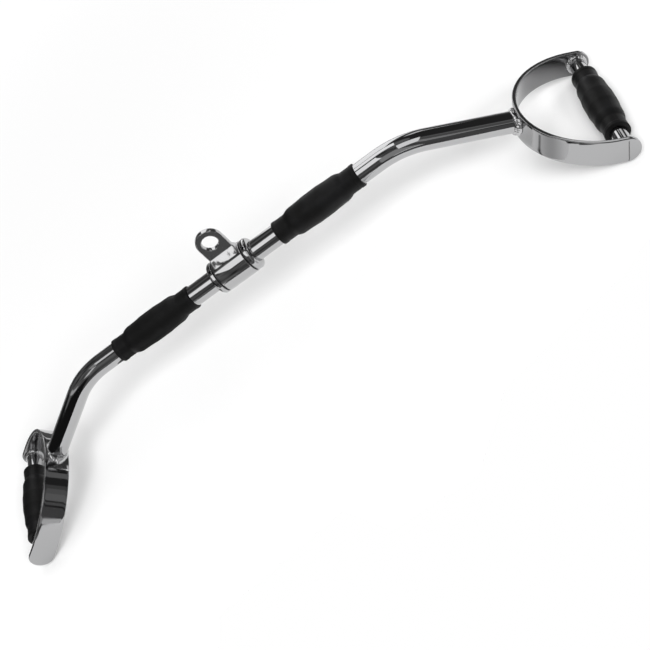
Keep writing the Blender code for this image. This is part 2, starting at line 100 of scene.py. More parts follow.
@dataclass(frozen=True)
class Patch:
    """A grid of points, and whether its rows and its columns close on themselves."""

    points: np.ndarray
    rows_close: bool = False
    columns_close: bool = False

    def faces(self) -> np.ndarray:
        """Quads between neighbouring rows and columns.

        Returns:
            Array of four vertex indices a face.
        """
        rows, columns = self.points.shape[:2]
        row = np.arange(rows if self.rows_close else rows - 1)
        column = np.arange(columns if self.columns_close else columns - 1)
        row, column = np.meshgrid(row, column, indexing="ij")
        next_row, next_column = (row + 1) % rows, (column + 1) % columns
        corners = ((row, column), (next_row, column), (next_row, next_column), (row, next_column))
        return np.stack([a * columns + b for a, b in corners], axis=-1).reshape(-1, 4)


def make_piece(name: str, patch: Patch, sharp_degrees: float = 40.0) -> Object:
    """Makes one piece from a grid. Points of it that meet become one.

    Args:
        name: Name of the piece.
        patch: Its grid in the row frame.
        sharp_degrees: Least angle between two faces that stays a crisp edge.

    Returns:
        The new object, at the origin.
    """
    mesh = bpy.data.meshes.new(name)
    mesh.from_pydata(patch.points.reshape(-1, 3), [], patch.faces().tolist())
    body = bmesh.new()
    body.from_mesh(mesh)
    bmesh.ops.remove_doubles(body, verts=body.verts, dist=MERGE_DISTANCE)
    bmesh.ops.dissolve_degenerate(body, edges=body.edges, dist=MERGE_DISTANCE)
    bmesh.ops.recalc_face_normals(body, faces=body.faces)
    body.to_mesh(mesh)
    body.free()
    mesh.shade_smooth()
    mesh.set_sharp_from_angle(angle=math.radians(sharp_degrees))
    piece = bpy.data.objects.new(name, mesh)
    bpy.context.scene.collection.objects.link(piece)
    return piece


def circle(sides: int) -> np.ndarray:
    """Angles round a circle, in radians, without a second one at the full turn."""
    return np.linspace(0.0, 2 * math.pi, sides, endpoint=False)


def directions(angle: np.ndarray) -> np.ndarray:
    """Rows of the cosine and the sine of each angle."""
    return np.stack((np.cos(angle), np.sin(angle)), axis=1)


def revolve(
    profile: np.ndarray, angles: np.ndarray, placement: Placement, closed: bool = True, swell: float | np.ndarray = 0
) -> Patch:
    """Turns a profile about its own Z axis: x = r cos a, y = r sin a, z = height.

    Args:
        profile: Rows of (radius, height).
        angles: Angles of the columns, in radians.
        placement: Where the axis lies.
        closed: Whether the profile closes on itself, as a ring's does.
        swell: What is added to the radius, by profile point and angle.

    Returns:
        The grid, profile points by angles.
    """
    radius, height = profile[:, :1] + swell, profile[:, 1:]
    points = np.stack((radius * np.cos(angles), radius * np.sin(angles), height + 0 * angles), axis=-1)
    return Patch(placement.world(points), rows_close=closed, columns_close=True)


def fillet(corners: list[Pair], radii: list[float], steps: int = 6) -> np.ndarray:
    """Rounds the corners of a closed outline with arcs that are tangent to both of their sides.

    Each arc turns evenly from one side's tangent point to the other's, about a centre on the corner's bisector.

    Args:
        corners: The outline's corners, as points in a plane.
        radii: Radius of each corner's arc.
        steps: Points of each arc.

    Returns:
        Points of the rounded outline.
    """
    corner = np.array(corners, float)
    radius = np.array(radii, float)[:, None]
    before, after = (np.roll(corner, shift, axis=0) - corner for shift in (1, -1))
    before /= np.linalg.norm(before, axis=1, keepdims=True)
    after /= np.linalg.norm(after, axis=1, keepdims=True)
    half = np.arccos(np.clip((before * after).sum(axis=1, keepdims=True), -1.0, 1.0)) / 2
    bisector = (before + after) / np.linalg.norm(before + after, axis=1, keepdims=True)
    centre = corner + bisector * radius / np.sin(half)
    start, end = (corner + side * radius / np.tan(half) - centre for side in (before, after))
    sweep = (math.pi - 2 * half)[:, :, None]
    share = np.linspace(0.0, 1.0, steps)[None, :, None]
    arcs = start[:, None] * np.sin((1 - share) * sweep) + end[:, None] * np.sin(share * sweep)
    return (centre[:, None] + arcs / np.sin(sweep)).reshape(-1, 2)


def smooth_step(share: np.ndarray) -> np.ndarray:
    """Rises from 0 to 1 with level ends."""
    share = np.clip(share, 0.0, 1.0)
    return share * share * (3 - 2 * share)


def linear(hex_colour: str) -> tuple[float, float, float, float]:
    """Turns an sRGB hex colour into a linear one with full alpha."""
    levels = np.array([int(hex_colour[i : i + 2], 16) / 255 for i in (1, 3, 5)])
    values = np.where(levels <= 0.04045, levels / 12.92, ((levels + 0.055) / 1.055) ** 2.4)
    return (*(float(value) for value in values), 1.0)


def scale_for(size_mm: float) -> float:
    """Texture scale, per metre, at which one feature of the pattern is that many millimetres long."""
    return 1000.0 / size_mm


def feed(node: Node, inputs: dict) -> None:
    """Gives each of a node's sockets, by name or number, a value or a link from another node's output."""
    for name, value in inputs.items():
        if isinstance(value, NodeSocket):
            node.id_data.links.new(value, node.inputs[name])
        else:
            node.inputs[name].default_value = value


def add_node(tree: NodeTree, kind: str, inputs: dict | None = None, output: str | int = 0, **settings) -> NodeSocket:
    """Adds a node to a shader.

    Args:
        tree: The material's or the world's node tree.
        kind: Blender's type name of the node, without "ShaderNode" before it.
        inputs: Values or other nodes' outputs for its sockets, by name or number.
        output: Name or number of the output to return.
        **settings: The node's own properties.

    Returns:
        That output of the new node.
    """
    node = tree.nodes.new("ShaderNode" + kind)
    for name, value in settings.items():
        setattr(node, name, value)
    feed(node, inputs or {})
    return node.outputs[output]


def new_material(name: str) -> tuple[Material, NodeTree, Node, NodeSocket]:
    """Starts a material: returns it with its node tree, its Principled shader and the object's coordinates."""
    material = bpy.data.materials.new(name)
    material.use_nodes = True
    tree = material.node_tree
    return material, tree, tree.nodes["Principled BSDF"], add_node(tree, "TexCoord", output="Object")


@dataclass(frozen=True)
class ChromePlate:
    """Bright nickel-chromium plate on polished steel.

    It mirrors the studio, with the faint long waves that a buffing wheel leaves and a thin haze of handling.
    """

    name: str = "bright_chrome_plate"
    colour: str = "#B2B2B3"
    roughness: float = 0.035
    haze: float = 0.05
    haze_size_mm: float = 35.0
    wave_size_mm: float = 14.0
    wave_depth_mm: float = 0.012
    grain_size_mm: float = 0.5
    grain_depth_mm: float = 0.0006

    def build(self) -> Material:
        """Makes the material."""
        material, tree, shader, place = new_material(self.name)
        # The haze lies in patches, where the noise runs high.
        patches = {"Vector": place, "Scale": scale_for(self.haze_size_mm), "Detail": 4.0, "Roughness": 0.6}
        haze = add_node(tree, "TexNoise", patches)
        levels = {"To Min": self.roughness, "To Max": self.roughness + self.haze}
        smear = add_node(tree, "MapRange", {"Value": haze, "From Min": 0.45, "From Max": 0.75, **levels})
        # The waves of the buffing wheel, and the fine grain of the plate over them.
        wave = add_node(tree, "TexNoise", {"Vector": place, "Scale": scale_for(self.wave_size_mm), "Detail": 1.0})
        grain = add_node(tree, "TexNoise", {"Vector": place, "Scale": scale_for(self.grain_size_mm), "Detail": 2.0})
        relief = {"Strength": 1.0, "Height": wave, "Distance": self.wave_depth_mm * MM}
        buffed = add_node(tree, "Bump", relief)
        relief = {"Strength": 1.0, "Height": grain, "Distance": self.grain_depth_mm * MM, "Normal": buffed}
        relief = add_node(tree, "Bump", relief)
        feed(shader, {"Base Color": linear(self.colour), "Metallic": 1.0, "Roughness": smear, "Normal": relief})
        return material


@dataclass(frozen=True)
class MouldedRubber:
    """Black vulcanised rubber, moulded with a fine stippled grain.

    It gives a soft broad sheen, a little lighter where hands have polished it, and holds a few specks of dust.
    """

    name: str = "moulded_black_rubber"
    colour: str = "#090909"
    worn_colour: str = "#0F0F10"
    dust_colour: str = "#3A3A3C"
    roughness: float = 0.56
    polish: float = 0.1
    specular: float = 0.20
    stipple_size_mm: float = 0.9
    stipple_depth_mm: float = 0.06
    wear_size_mm: float = 28.0
    dust_spacing_mm: float = 7.0
    dust_size_mm: float = 0.22

    def build(self) -> Material:
        """Makes the material."""
        material, tree, shader, place = new_material(self.name)
        patches = {"Vector": place, "Scale": scale_for(self.wear_size_mm), "Detail": 5.0, "Roughness": 0.6}
        wear = add_node(tree, "TexNoise", patches)
        worn = add_node(tree, "MapRange", {"Value": wear, "From Min": 0.42, "From Max": 0.68})
        tones = {"Factor": worn, "A": linear(self.colour), "B": linear(self.worn_colour)}
        tone = add_node(tree, "Mix", tones, "Result", data_type="RGBA")
        # A speck is the middle of a cell, with a soft edge.
        specks = add_node(tree, "TexVoronoi", {"Vector": place, "Scale": scale_for(self.dust_spacing_mm)})
        edge = self.dust_size_mm / self.dust_spacing_mm
        fall = {"Value": specks, "From Min": 0.4 * edge, "From Max": edge, "To Min": 1.0, "To Max": 0.0}
        dust = add_node(tree, "MapRange", fall)
        tones = {"Factor": dust, "A": tone, "B": linear(self.dust_colour)}
        dusty = add_node(tree, "Mix", tones, "Result", data_type="RGBA")
        levels = {"Value": worn, "To Min": self.roughness, "To Max": self.roughness - self.polish}
        sheen = add_node(tree, "MapRange", levels)
        cells = {"Vector": place, "Scale": scale_for(self.stipple_size_mm), "Smoothness": 0.6}
        stipple = add_node(tree, "TexVoronoi", cells, feature="SMOOTH_F1")
        grain = add_node(tree, "Bump", {"Height": stipple, "Strength": 0.9, "Distance": self.stipple_depth_mm * MM})
        feed(shader, {"Base Color": dusty, "Roughness": sheen, "Specular IOR Level": self.specular, "Normal": grain})
        return material


@dataclass(frozen=True)
class TurnedNylon:
    """Black bearing nylon, turned on a lathe: satin, with fine rings from the tool."""

    name: str = "turned_bearing_nylon"
    colour: str = "#1D1D1E"
    ior: float = 1.53
    roughness: float = 0.42
    uneven: float = 0.08
    rub_size_mm: float = 3.0
    ring_size_mm: float = 0.35
    ring_depth_mm: float = 0.01

    def build(self) -> Material:
        """Makes the material."""
        material, tree, shader, place = new_material(self.name)
        bands = {"Vector": place, "Scale": scale_for(self.ring_size_mm) / (2 * math.pi), "Distortion": 0.4}
        rings = add_node(tree, "TexWave", bands, "Fac", wave_type="BANDS", bands_direction="X")
        cut = add_node(tree, "Bump", {"Height": rings, "Strength": 0.6, "Distance": self.ring_depth_mm * MM})
        rub = add_node(tree, "TexNoise", {"Vector": place, "Scale": scale_for(self.rub_size_mm), "Detail": 3.0})
        levels = {"Value": rub, "To Min": self.roughness - self.uneven, "To Max": self.roughness + self.uneven}
        satin = add_node(tree, "MapRange", levels)
        feed(shader, {"Base Color": linear(self.colour), "IOR": self.ior, "Roughness": satin, "Normal": cut})
        return material


@dataclass(frozen=True)
class BlackOxideSteel:
    """Hardened steel with a black oxide skin: nearly black, oily satin, a little mottled."""

    name: str = "black_oxide_steel"
    colour: str = "#2B2C2F"
    mottle_colour: str = "#3A3B3E"
    smoothest: float = 0.28
    roughest: float = 0.44
    mottle_size_mm: float = 0.8

    def build(self) -> Material:
        """Makes the material."""
        material, tree, shader, place = new_material(self.name)
        mottle = add_node(tree, "TexNoise", {"Vector": place, "Scale": scale_for(self.mottle_size_mm), "Detail": 4.0})
        tones = {"Factor": mottle, "A": linear(self.colour), "B": linear(self.mottle_colour)}
        tone = add_node(tree, "Mix", tones, "Result", data_type="RGBA")
        satin = add_node(tree, "MapRange", {"Value": mottle, "To Min": self.smoothest, "To Max": self.roughest})
        feed(shader, {"Base Color": tone, "Metallic": 1.0, "Roughness": satin})
        return material


class Finish(Enum):
    """The finishes of the bar, each with a slot name beside it, which nothing here reads."""

    CHROME = (ChromePlate(), "chrome")
    # A darker copy of the chrome for the stirrups' bands: its lower colour is painted shade, standing for the
    # shadowed floor that the low bands mirror.
    FLAT_BAR_WITH_PAINTED_SHADE = (ChromePlate(name="flat_bar_chrome_darkened_as_painted_shade", colour="#A9A9AA", roughness=0.05), "chrome")
    # The inner faces are rougher, and their darker colour is painted shade for the inside of the stirrup.
    INNER_FACE_WITH_PAINTED_SHADE = (
        ChromePlate(
            name="rough_inner_face_chrome_with_painted_shade", colour="#8E8E8F", roughness=0.15, haze=0.08, wave_depth_mm=0.03
        ),
        "chrome",
    )
    WELD = (
        ChromePlate(
            name="chrome_over_dressed_weld", colour="#BCBCBD", roughness=0.10, haze=0.08, haze_size_mm=6.0,
            wave_size_mm=3.6, wave_depth_mm=0.07, grain_size_mm=0.9, grain_depth_mm=0.003,
        ),
        "chrome_weld",
    )
    RUBBER = (MouldedRubber(), "rubber")
    NYLON = (TurnedNylon(), "bearing")
    SCREW = (BlackOxideSteel(), "screw")

    def material(self) -> Material:
        """The finish's material, made when it is first asked for."""
        surface, _ = self.value
        return bpy.data.materials.get(surface.name) or surface.build()


def dress(piece: Object, finish: Finish, body: str, node: str) -> Object:
    """Gives a piece its finish, puts it on its moving body and hides the solid that it stands for."""
    piece.data.materials.append(finish.material())
    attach(piece, body)
    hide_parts(node)
    LOG.info("%s: %d faces on %s for %s", piece.name, len(piece.data.polygons), body, node)
    return piece


@dataclass(frozen=True)
class BarSizes:
    """Driving sizes of the bar, in metres, the same as the solids have."""

    axis_height: float
    tube_radius: float = 0.0127
    tube_wall: float = 0.0020
    bend_corner_x: float = 0.2365
    bend_angle: float = math.radians(31.5)
    bend_radius: float = 0.105
    end_length: float = 0.1315
    stirrup_radius: float = 0.0890
    band_thickness: float = 0.0048
    band_width: float = 0.0305
    handle_distance: float = 0.0985
    rod_radius: float = 0.0095
    seat_gap: float = 0.0003

    @classmethod
    def from_frame(cls) -> "BarSizes":
        """Takes the height of the tube's axis from the hanger's joint."""
        return cls(axis_height=frame["joints"][0]["pos_m"][2])

    def bar(self) -> Placement:
        """The bar's own axes, on the tube's axis under the hanger."""
        return Placement((0.0, 0.0, self.axis_height), Matrix.Identity(3))

    def stirrup(self, side: Side) -> Placement:
        """A stirrup's own axes, where the tube's axis meets its back, with X down along the tube's end."""
        half_turn = math.pi if side is Side.LEFT else 0.0
        turn = Matrix.Rotation(half_turn, 3, "Z") @ Matrix.Rotation(self.bend_angle, 3, "Y")
        reach = self.bend_corner_x + self.end_length * math.cos(self.bend_angle)
        drop = self.end_length * math.sin(self.bend_angle)
        return Placement((side.sign * reach, 0.0, self.axis_height - drop), turn)

    def back_of_band(self, across: np.ndarray, gap: float = 0.0) -> np.ndarray:
        """How far the round back of a stirrup lies along its X axis, at a distance across it."""
        return self.stirrup_radius - np.sqrt((self.stirrup_radius + gap) ** 2 - across**2)


@dataclass(frozen=True)
class Bead:
    """A weld bead laid in the corner between two surfaces, with the worn ripples of the moving torch."""

    pitch: float
    ripple: float = 0.09
    lump: float = 0.07
    crown: float = 1.0
    crescent: float = 1.8
    sink: float = 0.25 * MM
    tuck: float = 0.02
    section_steps: int = 14

    def patch(self, placement: Placement, corner: np.ndarray, edge: np.ndarray, crest: np.ndarray) -> Patch:
        """Lays the bead along a closed line.

        The section lies between a straight line and a quarter ellipse, by the share of the crown, both drawn
        between the bead's two edges. Its size swells and shrinks once in each ripple, whose phase lags towards
        both edges, so that each ripple is a crescent. The hand's pace makes some ripples longer and deeper than
        others, and lumps of a few ripples lie over them.

        Args:
            placement: The axes in which the points are given.
            corner: Points of the closed line where the two surfaces meet.
            edge: The bead's edge on the one surface, beside each of them.
            crest: The bead's edge on the other.

        Returns:
            The closed grid, line by section.
        """
        across, up = edge - corner, crest - corner
        steps = np.linalg.norm(np.roll(corner, -1, axis=0) - corner, axis=1)
        length = steps.sum()
        turn = 2 * math.pi * (np.concatenate(([0.0], np.cumsum(steps)[:-1])) / length)[:, None]
        share = np.linspace(0.0, 1.0, self.section_steps)[None, :]
        pace = 1.1 * np.sin(3 * turn + 0.7) + 0.8 * np.sin(7 * turn + 2.1)
        depth = self.ripple * (0.6 + 0.4 * np.sin(5 * turn + 1.3))
        lag = self.crescent * (2 * share - 1) ** 2
        wave = 0.5 + 0.5 * np.cos(round(length / self.pitch) * turn + pace - lag)
        lumps = np.sin(4 * turn + 3.0 * share + 0.4) + 0.8 * np.sin(11 * turn - 2.0 * share + 1.9)
        inside = np.sin(math.pi * share) ** 0.5
        size = (1.0 + inside * (self.lump * 0.5 * lumps - depth * wave))[..., None]
        round_to_straight = ((np.cos, 1 - share, across), (np.sin, share, up))
        face = corner[:, None] + size * sum(
            arm[:, None] * (self.crown * curve(QUARTER_TURN * share) + (1 - self.crown) * line)[..., None]
            for curve, line, arm in round_to_straight
        )
        inward = -self.sink * sum(arm / np.linalg.norm(arm, axis=1, keepdims=True) for arm in (across, up))
        root = (corner + inward)[:, None]
        foot = face[:, :1] + (inward - across * self.tuck)[:, None]
        head = face[:, -1:] + (inward - up * self.tuck)[:, None]
        return Patch(placement.world(np.concatenate((root, foot, face, head), axis=1)), True, True)


@dataclass(frozen=True)
class GripShape:
    """Outline of a moulded rubber grip: a cuff with a rolled lip at each end, shoulders and a belly."""

    length: float
    cuff: float
    shoulder: float
    belly: float
    bore: float
    lip: float = 0.4 * MM
    lip_length: float = 5.0 * MM
    cuff_end: float = 0.69
    shoulder_at: float = 0.52
    belly_at: float = 0.18
    end_round: float = 0.9 * MM
    bore_round: float = 0.4 * MM
    soften: float = 3.0 * MM
    steps: int = 180
    sides: int = 120
    seam_height: float = 0.10 * MM
    seam_width: float = 0.35 * MM
    seam_reach: float = 2.2
    seam_steps: int = 9

    def profile(self) -> np.ndarray:
        """Closed profile of (radius, height): the outside from the top down, then up through the bore.

        The belly falls as a square to the shoulder, and the shoulder as a quarter sine to the cuff. A running mean
        softens that line before the lip and the rounded end are added.
        """
        half = self.length / 2
        height = np.linspace(half, -half, self.steps)
        share = np.abs(height) / half
        swell = np.clip((self.shoulder_at - share) / (self.shoulder_at - self.belly_at), 0.0, 1.0) ** 2
        flare = np.sin(QUARTER_TURN * np.clip((self.cuff_end - share) / (self.cuff_end - self.shoulder_at), 0, 1))
        radius = self.cuff + (self.shoulder - self.cuff) * flare + (self.belly - self.shoulder) * swell
        window = max(3, int(self.soften / self.length * self.steps) | 1)
        kernel = np.hanning(window + 2)[1:-1]
        radius = np.convolve(np.pad(radius, window // 2, mode="edge"), kernel / kernel.sum(), mode="valid")
        radius += self.lip * smooth_step((np.abs(height) - (half - self.lip_length - self.lip)) / self.lip)
        from_end = np.clip((half - np.abs(height)) / self.end_round, 0.0, 1.0)
        radius = radius - self.end_round * (1 - np.sqrt(1 - (1 - from_end) ** 2))
        beyond = self.bore + 1.0 * MM
        corners = [(self.bore, -half), (self.bore, half), (beyond, half), (beyond, -half)]
        two_arcs = slice(0, 12)
        bore = fillet(corners, [self.bore_round] * 2 + [CRISP] * 2)[two_arcs]
        return np.concatenate((np.stack((radius, height), axis=1), bore))

    def build(self, name: str, placement: Placement, seam_angle: float) -> Object:
        """Makes the grip, with the mould's parting line as a low ridge along both sides.

        Args:
            name: Name of the piece.
            placement: The grip's own axes, with Z along it.
            seam_angle: Angle of one of the two ridges, which lie opposite.

        Returns:
            The new object.
        """
        near = np.linspace(-1.0, 1.0, self.seam_steps) * self.seam_reach * self.seam_width / self.belly
        seams = np.array([[seam_angle], [seam_angle + math.pi]])
        angles = np.concatenate((circle(self.sides), (seams + near).ravel())) % (2 * math.pi)
        angles = np.unique(np.round(angles, 6))
        off = np.abs((angles - seams + math.pi) % (2 * math.pi) - math.pi).min(axis=0)
        ridge = self.seam_height * np.exp(-((off * self.belly / self.seam_width) ** 2))
        profile = self.profile()
        outside = np.zeros((len(profile), 1))
        outside[2 : self.steps - 2] = 1.0
        return make_piece(name, revolve(profile, angles, placement, swell=outside * ridge))


@dataclass
class MainTube:
    """The bent tube, one piece from stirrup to stirrup, with both ends coped to the stirrups' backs."""

    sizes: BarSizes
    sides: int = 144
    bend_steps: int = 40

    def rings(self, radius: float) -> np.ndarray:
        """Rings of the tube's wall at a radius, from the left end to the right end.

        The axis is straight, then an arc of the bend's radius, then straight again. A ring lies square to it,
        but the last one at each end follows the round back of the band.
        """
        sizes = self.sizes
        lean = np.linspace(0.0, sizes.bend_angle, self.bend_steps)
        set_back = sizes.bend_radius * math.tan(sizes.bend_angle / 2)
        x = sizes.bend_corner_x - set_back + sizes.bend_radius * np.sin(lean)
        z = -sizes.bend_radius * (1 - np.cos(lean))
        lean, x = (np.concatenate((-values[::-1], values))[:, None] for values in (lean, x))
        z = np.concatenate((z[::-1], z))[:, None]
        angle = circle(self.sides)[None, :]
        across, lift = radius * np.cos(angle), radius * np.sin(angle)
        along = np.stack((x + lift * np.sin(lean), across + 0 * x, z + lift * np.cos(lean)), axis=-1)
        back = sizes.back_of_band(across, sizes.seat_gap)
        left, right = (
            sizes.stirrup(side).world(np.stack((back, side.sign * across, lift), axis=-1))
            for side in (Side.LEFT, Side.RIGHT)
        )
        return np.concatenate((left, sizes.bar().world(along), right))

    def build(self) -> None:
        """Makes the tube's outside and its bore as one closed wall, and dresses it."""
        outside = self.rings(self.sizes.tube_radius)
        bore = self.rings(self.sizes.tube_radius - self.sizes.tube_wall)[::-1]
        piece = make_piece("bent_tube", Patch(np.concatenate((outside, bore)), True, True))
        dress(piece, Finish.CHROME, BAR, "main_tube")


@dataclass
class Stirrup:
    """One stirrup: the bent band, its welds, the handle rod and the rubber grip on it."""

    side: Side
    sizes: BarSizes
    edge_round: float = 0.9 * MM
    edge_steps: int = 6
    arc_steps: int = 90
    end_steps: int = 28
    face_steps: int = 9
    rod_sides: int = 112
    rod_edge: float = 0.4 * MM
    grip_length: float = 0.1140
    grip_cuff: float = 0.0146
    grip_shoulder: float = 0.0172
    grip_seam: float = math.radians(100.0)
    tube_weld_up: float = 0.0055
    tube_weld_across: float = 0.0062
    tube_weld_to_edge: float = 0.0018
    tube_weld_ripple: float = 3.0 * MM
    tube_weld_steps: int = 720
    rod_weld_leg: float = 0.0034
    rod_weld_ripple: float = 2.6 * MM
    rod_weld_steps: int = 480

    @property
    def middle_radius(self) -> float:
        """Radius of the band's middle line where it is round."""
        return self.sizes.stirrup_radius - self.sizes.band_thickness / 2

    @property
    def quarter(self) -> float:
        """Length of that line from the tube to the start of a leg."""
        return self.middle_radius * QUARTER_TURN

    def flat_outline(self) -> tuple[np.ndarray, ...]:
        """Stations along the flat bar: place along it, half width, and the outline's normal along and across.

        The bar keeps its width until the handle rod's centre, and a half circle ends it.
        """
        rod_at = self.quarter + self.sizes.handle_distance - self.sizes.stirrup_radius
        half_width = self.sizes.band_width / 2
        arc = np.linspace(0.0, self.quarter, self.arc_steps)
        turn = np.linspace(0.0, QUARTER_TURN, self.end_steps)
        one = np.ones(len(arc))
        columns = (
            (-1, arc, rod_at + half_width * np.sin(turn)),
            (1, half_width * one, half_width * np.cos(turn)),
            (-1, 0 * one, np.sin(turn)),
            (1, one, np.cos(turn)),
        )
        # The left half repeats the right one from its end, but for the middle station.
        columns = [(sign, np.concatenate(values)) for sign, *values in columns]
        return tuple(np.concatenate((sign * values[:0:-1], values)) for sign, values in columns)

    def bend(self, place: np.ndarray, across: np.ndarray, depth: np.ndarray) -> np.ndarray:
        """Bends the flat bar to the U: an arc of the middle radius, then straight legs.

        Args:
            place: Distance along the bar's middle line from the tube.
            across: Distance across the bar's width.
            depth: Distance from the middle line through the thickness, outwards.

        Returns:
            Points in the stirrup's own axes.
        """
        angle = np.clip(place, -self.quarter, self.quarter) / self.middle_radius
        leg = np.maximum(np.abs(place) - self.quarter, 0.0)
        x = self.sizes.stirrup_radius - (self.middle_radius + depth) * np.cos(angle) + leg
        return np.stack((x, (self.middle_radius + depth) * np.sin(angle), across), axis=-1)

    def build_band(self) -> None:
        """Makes the band: faces, and a rim whose edges are quarter rounds drawn in along the outline's normal."""
        place, width, along, across = (values[:, None] for values in self.flat_outline())
        half = self.sizes.band_thickness / 2
        turn = np.linspace(0.0, QUARTER_TURN, self.edge_steps)
        inset = self.edge_round * (1 - np.concatenate((np.sin(turn), np.cos(turn))))
        depth = half - self.edge_round * (1 - np.cos(turn))
        depth = np.concatenate((depth, -depth[::-1])) + 0 * place
        rim_place, rim_across = place - along * inset, width - across * inset
        right = self.bend(rim_place, rim_across, depth)
        left = self.bend(rim_place, -rim_across, depth)[:, ::-1]
        share = np.linspace(-1.0, 1.0, self.face_steps)[1:-1]
        face_place = rim_place[:, :1] + 0 * share
        outer = self.bend(face_place, rim_across[:, :1] * share, half)
        inner = self.bend(face_place, -rim_across[:, :1] * share, -half)
        loop = np.concatenate((outer, right, inner, left), axis=1)
        patch = Patch(self.sizes.stirrup(self.side).world(loop), columns_close=True)
        piece = make_piece(f"{self.side.value}_stirrup", patch, sharp_degrees=50.0)
        dress(piece, Finish.FLAT_BAR_WITH_PAINTED_SHADE, BAR, f"stirrup_band_{self.side.value}")
        piece.data.materials.append(Finish.INNER_FACE_WITH_PAINTED_SHADE.material())
        self.finish_and_shade_inner_face(piece)

    def finish_and_shade_inner_face(self, piece: Object) -> None:
        """Gives the band's inner face its duller finish, which the buffing wheel can't reach, and a darker colour
        that is painted shade for the inside of the stirrup.
        """
        placement = self.sizes.stirrup(self.side)
        centres = np.array([polygon.center for polygon in piece.data.polygons]) - np.array(placement.origin)
        x, y, _ = (centres @ np.array(placement.matrix)).T
        radius = self.sizes.stirrup_radius
        from_middle = np.where(x < radius, np.hypot(x - radius, y), np.abs(y))
        inner = from_middle < radius - self.sizes.band_thickness + 0.1 * MM
        piece.data.polygons.foreach_set("material_index", inner.astype(np.int32))

    def build_tube_weld(self) -> None:
        """Makes the bead round the tube's end, which follows the round back of the band."""
        ring = directions(circle(self.tube_weld_steps))
        near = ring * self.sizes.tube_radius
        far = near + ring * np.array([self.tube_weld_across, self.tube_weld_to_edge])
        corner, edge = (np.column_stack((self.sizes.back_of_band(line[:, 0]), line)) for line in (near, far))
        crest = corner - np.array([self.tube_weld_up, 0.0, 0.0])
        bead = Bead(self.tube_weld_ripple).patch(self.sizes.stirrup(self.side), corner, edge, crest)
        dress(make_piece(f"{self.side.value}_tube_weld", bead), Finish.WELD, BAR, f"tube_weld_{self.side.value}")

    def rod_axis(self) -> Placement:
        """The handle rod's own axes, with Z towards the rear leg of the right stirrup."""
        place = (self.sizes.handle_distance, 0.0, 0.0)
        return self.sizes.stirrup(self.side).turned(-QUARTER_TURN * self.side.sign, "X", place)

    def build_rod(self) -> None:
        """Makes the handle rod and the bead round each of its ends."""
        label, radius, rod_axis = self.side.value, self.sizes.rod_radius, self.rod_axis()
        face = self.sizes.stirrup_radius - self.sizes.band_thickness
        half = face - self.sizes.seat_gap
        corners = [(0.0, half), (radius, half), (radius, -half), (0.0, -half)]
        profile = fillet(corners, [CRISP, self.rod_edge, self.rod_edge, CRISP])
        rod = make_piece(f"{label}_handle_rod", revolve(profile, circle(self.rod_sides), rod_axis, closed=False))
        dress(rod, Finish.CHROME, BAR, f"handle_rod_{label}")
        ring = np.pad(directions(circle(self.rod_weld_steps)), ((0, 0), (0, 1)))
        for end, outwards in (("front", np.array([0.0, 0.0, -1.0])), ("rear", np.array([0.0, 0.0, 1.0]))):
            corner = ring * radius + outwards * face
            edge, crest = corner + ring * self.rod_weld_leg, corner - outwards * self.rod_weld_leg
            bead = Bead(self.rod_weld_ripple).patch(rod_axis, corner, edge, crest)
            dress(make_piece(f"{label}_{end}_rod_weld", bead), Finish.WELD, BAR, f"rod_weld_{label}_{end}")

    def build_grip(self) -> None:
        """Makes the rubber grip. Its belly has the radius that makes it rest on the floor."""
        node = f"handle_grip_{self.side.value}"
        low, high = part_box(node)
        belly, bore = (high.z - low.z) / 2, self.sizes.rod_radius + self.sizes.seat_gap
        shape = GripShape(self.grip_length, self.grip_cuff, self.grip_shoulder, belly, bore)
        piece = shape.build(f"{self.side.value}_handle_grip", self.rod_axis(), self.grip_seam)
        dress(piece, Finish.RUBBER, BAR, node)

    def build(self) -> None:
        """Makes the whole stirrup."""
        self.build_band()
        self.build_tube_weld()
        self.build_rod()
        self.build_grip()


@dataclass
class BarGrip:
    """A rubber grip on the straight tube, beside the hanger."""

    side: Side
    sizes: BarSizes
    start_x: float = 0.0640
    length: float = 0.1160
    cuff: float = 0.0143
    shoulder: float = 0.0172
    belly: float = 0.0182
    seam: float = math.radians(50.0)

    def build(self) -> None:
        """Makes the grip and dresses it."""
        middle = self.side.sign * (self.start_x + self.length / 2)
        placement = self.sizes.bar().turned(QUARTER_TURN, "Y", (middle, 0.0, 0.0))
        bore = self.sizes.tube_radius + self.sizes.seat_gap
        shape = GripShape(self.length, self.cuff, self.shoulder, self.belly, bore)
        piece = shape.build(f"{self.side.value}_bar_grip", placement, self.seam)
        dress(piece, Finish.RUBBER, BAR, f"bar_grip_{self.side.value}")


